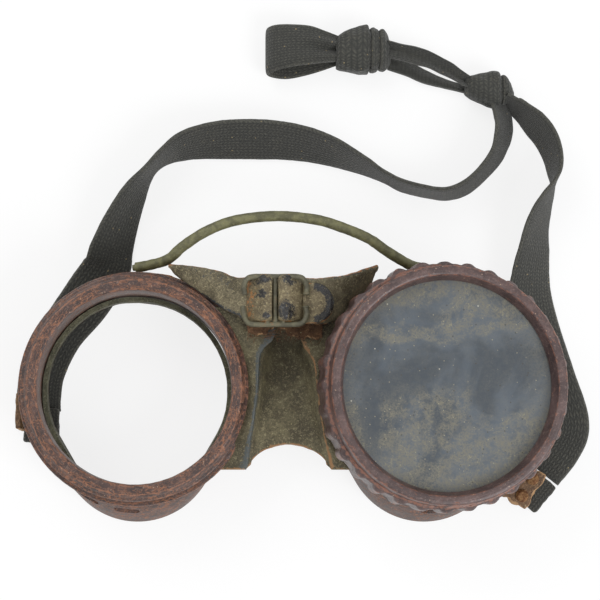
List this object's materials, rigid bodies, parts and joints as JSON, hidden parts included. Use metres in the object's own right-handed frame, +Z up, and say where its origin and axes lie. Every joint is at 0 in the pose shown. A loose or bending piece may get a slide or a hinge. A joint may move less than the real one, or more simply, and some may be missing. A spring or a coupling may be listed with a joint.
{
  "type": "welding goggles",
  "caption": "Old round welding goggles: moulded eyecups joined by a leather and wire nose bridge, a screw cap over dark lenses on one cup, and a knotted elastic head strap.",
  "frame": {"origin": "middle of the outline's footprint on the table, at the bottom", "axes": "+Z up out of the lens fronts, +X from the bare cup towards the capped cup, +Y from the cheeks towards the brow"},
  "size_m": [0.1392, 0.1188, 0.0376],
  "materials": {
    "moulded_cup": "red-brown moulded resin, crackled and worn pale at the edges",
    "moulded_cap": "dark red-brown moulded resin with worn lugs and gloss on the flange",
    "dark_lens": "dark filter glass",
    "cover_glass": "dusty blue-grey glass with wiped bands and dark spots",
    "gasket_rubber": "matt",
    "olive_leather": "olive green-brown leather, mottled and creased",
    "lining_leather": "thin grey-green leather",
    "worn_loop_leather": "olive leather worn to blue-black gloss, with raw orange edges",
    "brown_leather": "raw brown leather",
    "frayed_leather": "frayed brown leather",
    "olive_wire": "olive painted wire, dull",
    "olive_cord": "olive covered wire, dull",
    "rivet_metal": "tarnished",
    "head_webbing": "dark grey-black woven elastic, faded at the edges"
  },
  "bodies": {
    "right_cup": {"eyecup_right": "moulded_cup", "rim_lining_right": "lining_leather", "leather_wrap_right": "olive_leather", "nose_saddle": "olive_leather", "bridge_strap_right": "olive_leather", "bridge_loop_right": "worn_loop_leather", "bridge_tongue": "worn_loop_leather", "buckle_frame": "olive_wire", "bridge_backing": "frayed_leather", "brow_cord": "olive_cord", "strap_tab_right": "brown_leather", "tab_rivets_right": "rivet_metal", "strap_end_right": "head_webbing", "head_strap_right": "head_webbing", "head_strap_left": "head_webbing", "strap_knot_lower": "head_webbing", "strap_ply_upper": "head_webbing", "strap_ply_lower": "head_webbing", "strap_knot_upper": "head_webbing", "strap_loop_end": "head_webbing"},
    "left_cup": {"eyecup_left": "moulded_cup", "rim_lining_left": "lining_leather", "leather_wrap_left": "olive_leather", "bridge_strap_left": "olive_leather", "bridge_loop_left": "worn_loop_leather", "strap_tab_left": "brown_leather", "tab_rivets_left": "rivet_metal", "strap_end_left": "head_webbing"},
    "lens_carrier": {"lens_gasket_right": "gasket_rubber", "filter_lens_right": "dark_lens", "cover_glass_right": "cover_glass"},
    "lens_cap": {"lens_cap_right": "moulded_cap"}
  },
  "joints": [
    {"name": "bridge_fold", "type": "hinge", "parent": "right_cup", "child": "left_cup", "pos_m": [-0.00645, -0.0091, 0.0265], "axis": [0, 1, 0], "range_deg": [0, 8]},
    {"name": "lens_lift", "type": "slide", "parent": "right_cup", "child": "lens_carrier", "axis": [0.1219, 0, 0.9925], "range_m": [0, 0.006]},
    {"name": "cap_turn", "type": "hinge", "parent": "lens_carrier", "child": "lens_cap", "pos_m": [0.0333, -0.0286, 0.025], "axis": [0.1219, 0, 0.9925], "range_deg": [0, 720]}
  ],
  "couplings": [
    {"joint": "lens_lift", "follows": "cap_turn", "m_per_rad": 0.000477}
  ]
}
